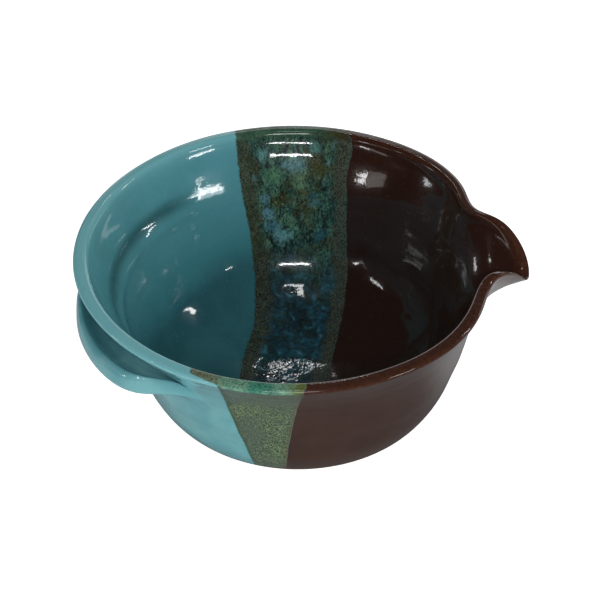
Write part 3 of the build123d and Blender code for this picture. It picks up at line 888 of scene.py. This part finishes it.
def glaze(name):
    g = Material(name)
    p = g.mm()
    g.position = g.xyz(p)
    z = g.position[2]
    fl, fr, inner, run, lip = map(g.attr, ("fl", "fr", "inn", "sm", "lip"))
    inside = g.ramp(inner, over=(0.75, 1.0))

    # ragged dip lines: the right one and the outside ones are nearly straight
    wander = g.add(g.swing(g.noise(p, scale=0.34, rough=0.6), reach=3.2),
                   g.swing(g.noise(p, scale=1.1, detail=2), reach=1.6))
    ragged = g.ramp(inner, over=(0.0, 1.0), to=(0.25, 0.8))
    left = g.add(fl, g.mul(wander, ragged))
    right = g.add(fr, g.mul(wander, g.mul(ragged, 0.7)))
    in_band = g.mul(g.ramp(left, over=(-0.3, 0.3)), g.ramp(right, over=(0.3, -0.3)))
    in_brown = g.ramp(right, over=(-0.3, 0.3))

    cloud = g.noise(p, scale=0.035, detail=4, rough=0.55, distort=0.4)
    fine = g.noise(p, scale=0.6, rough=0.6)
    patch = g.noise(p, scale=0.085, rough=0.55, distort=0.5)
    worm = g.veins(g.noise(p, scale=0.95, detail=2.0, rough=0.45, distort=0.3))
    band = g.mix(inside, band_outside(g, p, left, right, worm),
                 band_inside(g, p, run, left, right, patch))
    band = g.tint(band, band_on_lip(g, p, patch), by=lip, over=(0.30, 0.62))
    col = g.mix(in_band, turquoise_colour(g, z, lip, inside, cloud, fine), band)
    col = g.mix(in_brown, col, brown_colour(g, z, lip, inside, cloud, fine))
    # a thin dark line where turquoise meets the band
    seam = g.ramp(g.math("ABSOLUTE", left), over=(0.9, 0.1))
    col = g.mix(g.mul(seam, 0.35), col, rgb(40, 62, 52))

    # soft waves, fine grain, speckle of the band; the clear coat is crazed on the band's floor
    waves = g.bump(g.noise(p, scale=0.10, detail=2), distance=0.00022, strength=0.5)
    grain = g.bump(g.noise(p, scale=0.9, detail=2), distance=0.00005, strength=0.35, normal=waves)
    speckle = g.bump(g.mul(worm, in_band, g.invert(in_brown)), distance=0.00035, strength=0.35,
                     normal=grain)
    crazed = g.mul(in_band, inside, g.ramp(z, over=(24, 13)),
                   g.ramp(g.dist(p, (-7, 11, 12)), over=(19, 8)))
    crazing = g.bump(g.mul(g.noise(p, scale=0.45, detail=2), crazed), distance=0.00006,
                     strength=1.0, normal=grain)
    g.feed(g.bsdf, {"Base Color": col,
                    "Roughness": g.ramp(fine, over=(0.3, 0.7), to=(0.16, 0.26)),
                    "IOR": 1.5,
                    "Coat Weight": g.invert(g.mul(0.4, g.mul(in_brown, inside))),
                    "Coat Roughness": 0.035,
                    "Coat IOR": 1.52,
                    "Specular IOR Level": 0.15,
                    "Normal": speckle,
                    "Coat Normal": crazing})
    return g.mat


def clay(name):
    g = Material(name)
    p = g.mm()
    z = g.xyz(p)[2]
    big = g.noise(p, scale=0.05, detail=4, rough=0.6)
    grit = g.noise(p, scale=1.8, rough=0.7)
    speck = g.node("TexVoronoi", {"Vector": p, "Scale": 0.55}).outputs["Distance"]
    col = g.tint(rgb(122, 98, 76), rgb(142, 116, 92), by=big, over=(0.35, 0.65))
    col = g.tint(col, rgb(94, 72, 56), by=grit, over=(0.55, 0.72), most=0.6)
    col = g.tint(col, rgb(74, 52, 40), by=speck, over=(0.16, 0.08), most=0.75)
    col = g.tint(col, rgb(92, 60, 44), by=z, over=(3.4, 5.2), most=0.45)
    g.feed(g.bsdf, {"Base Color": col,
                    "Roughness": g.ramp(grit, over=(0.3, 0.7), to=(0.72, 0.92)),
                    "Normal": g.bump(grit, distance=0.00018, strength=0.6)})
    return g.mat


# object, material function, material name, CAD piece it replaces, slot
for ob, make, material, piece, slot in (
        (turquoise_ob, glaze, "mat_turquoise_coat", "turquoise_glaze", "turquoise_glaze"),
        (handle_ob, glaze, "mat_handle_coat", "handle_glaze", "turquoise_glaze"),
        (green_ob, glaze, "mat_green_band_coat", "green_band_glaze", "green_band_glaze"),
        (brown_ob, glaze, "mat_brown_coat", "brown_glaze", "brown_glaze"),
        (clay_ob, clay, "mat_bare_clay", "bowl_body", "bare_clay"),
        (handle_clay, clay, "mat_handle_clay", "handle", "bare_clay")):
    ob.data.materials.append(make(material))
    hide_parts(piece)
    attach(ob, "root")


# ---------------------------------------------------------------------------
# Studio (metres)
# ---------------------------------------------------------------------------
def floor_material():
    """Glowing white; in reflections a darker copy with painted shade near the bowl, paler further
    out to the left and right; clear when seen from below.
    """
    g = Material("mat_floor")
    rays = g.node("LightPath").outputs
    g.feed(g.bsdf, {"Base Color": grey(0.93),
                    "Roughness": 0.9,
                    "Emission Color": grey(1),
                    "Emission Strength": g.add(0.6, g.mul(rays["Is Camera Ray"], 0.3)),
                    "Specular IOR Level": 0.1})
    x, y, _ = g.xyz(g.mm())
    # painted shade: in reflections the floor is dark near the bowl, as in its shade, and paler
    # further out to the sides
    side = g.math("MAXIMUM", g.ramp(x, over=(-50, -120)),
                  g.mul(g.ramp(x, over=(70, 120)), g.ramp(y, over=(-60, 0))))
    shaded_reflection = g.node("BsdfDiffuse", {0: g.mix(side, grey(0.22), grey(0.75))})
    seen = g.mix_shader(rays["Is Glossy Ray"], g.bsdf.outputs[0], shaded_reflection.outputs[0])
    below = g.node("NewGeometry").outputs["Backfacing"]
    clear = g.node("BsdfTransparent").outputs[0]
    g.put(g.out.inputs[0], g.mix_shader(below, seen, clear))
    return g.mat


FLOOR_HALF, FLOOR_Z = 4.0, -0.0004
floor_mesh = bpy.data.meshes.new("studio_floor")
floor_mesh.from_pydata([(x * FLOOR_HALF, y * FLOOR_HALF, FLOOR_Z)
                        for x, y in ((-1, -1), (1, -1), (1, 1), (-1, 1))], [], [(0, 1, 2, 3)])
floor = add_object("studio_floor", floor_mesh)
floor.data.materials.append(floor_material())


def make_world():
    """White to the camera, dim to diffuse rays, nearly black in reflections."""
    world = bpy.data.worlds.new("studio")
    bpy.context.scene.world = world
    world.use_nodes = True
    w = Nodes(world.node_tree)

    def background(colour, strength):
        return w.node("Background", {0: colour, 1: strength}).outputs[0]

    cool = (0.95, 0.97, 1.0, 1)
    rays = w.node("LightPath").outputs
    unseen = w.mix_shader(rays["Is Glossy Ray"], background(cool, strength=0.31),
                          background(cool, strength=0.04))
    shown = w.mix_shader(rays["Is Camera Ray"], unseen, background(grey(1), strength=1.0))
    w.node("OutputWorld", {0: shown})


make_world()

LIGHT_CENTRE, LIGHT_DISTANCE = Vector((0, 0, 0.06)), 1.6
WHITE = (1, 1, 1)
# name, azimuth and elevation in degrees, width, height, radiance, colour
SOFTBOXES = [
    ("back", 88.6, 40.8, 0.026, 0.040, 34, WHITE),
    ("front_strip", -88, 36.5, 0.60, 0.06, 34, WHITE),
    ("right_bar", -35, 21.2, 0.36, 0.05, 24, WHITE),
    ("right_panel", -35, 18.2, 0.34, 0.10, 6, (0.9, 0.97, 1.0)),
    ("left_bar", -133.5, 20.5, 0.16, 0.06, 26, WHITE),
    ("left_panel", -143.5, 19.0, 0.34, 0.11, 2.6, (1.0, 0.94, 0.9)),
    ("side_right", 18, 27.0, 0.03, 0.40, 26, WHITE),
    ("side_left", 178, 14.0, 0.14, 0.12, 12, (0.92, 0.96, 1.0)),
    ("side_left_2", -160, 30.0, 0.06, 0.10, 16, WHITE),
    ("ceiling", -90, 76.0, 0.20, 0.08, 14, WHITE),
    ("key", -35, 20.0, 0.30, 0.10, 52, WHITE),
    ("backdrop", 86, 15.0, 1.40, 0.68, 0.95, WHITE),
    ("low_right", 41, 4.5, 0.70, 0.20, 1.1, WHITE)]


def aim(ob, target):
    ob.rotation_euler = (target - ob.location).to_track_quat("-Z", "Y").to_euler()


def softbox(name, azimuth, elevation, width, height, radiance, colour):
    light = bpy.data.lights.new(name, "AREA")
    light.shape = "RECTANGLE"
    light.size, light.size_y = width, height
    light.energy = radiance * math.pi * width * height
    light.color = colour
    ob = add_object(name, light)
    a, e = math.radians(azimuth), math.radians(elevation)
    direction = Vector((math.cos(e) * math.cos(a), math.cos(e) * math.sin(a), math.sin(e)))
    ob.location = LIGHT_CENTRE + LIGHT_DISTANCE * direction
    aim(ob, LIGHT_CENTRE)
    return ob


lights = {row[0]: softbox(*row) for row in SOFTBOXES}
lights["key"].visible_glossy = False
for name in ("backdrop", "low_right"):        # only for reflections
    lights[name].visible_diffuse = False
    lights[name].visible_camera = False

CAMERA_ELEVATION, CAMERA_DISTANCE = math.radians(37.71), 1.2
camera = bpy.data.cameras.new("camera")
camera.sensor_width = 36.0
camera.lens = 142.7
camera_ob = add_object("camera", camera)
target = Vector((0.00102, 0.0, 0.06214)) + Vector(AXIS * 0.001)
camera_ob.location = target + CAMERA_DISTANCE * Vector(
    (0, -math.cos(CAMERA_ELEVATION), math.sin(CAMERA_ELEVATION)))
aim(camera_ob, target)
bpy.context.scene.camera = camera_ob
bpy.context.scene.view_settings.view_transform = "Standard"
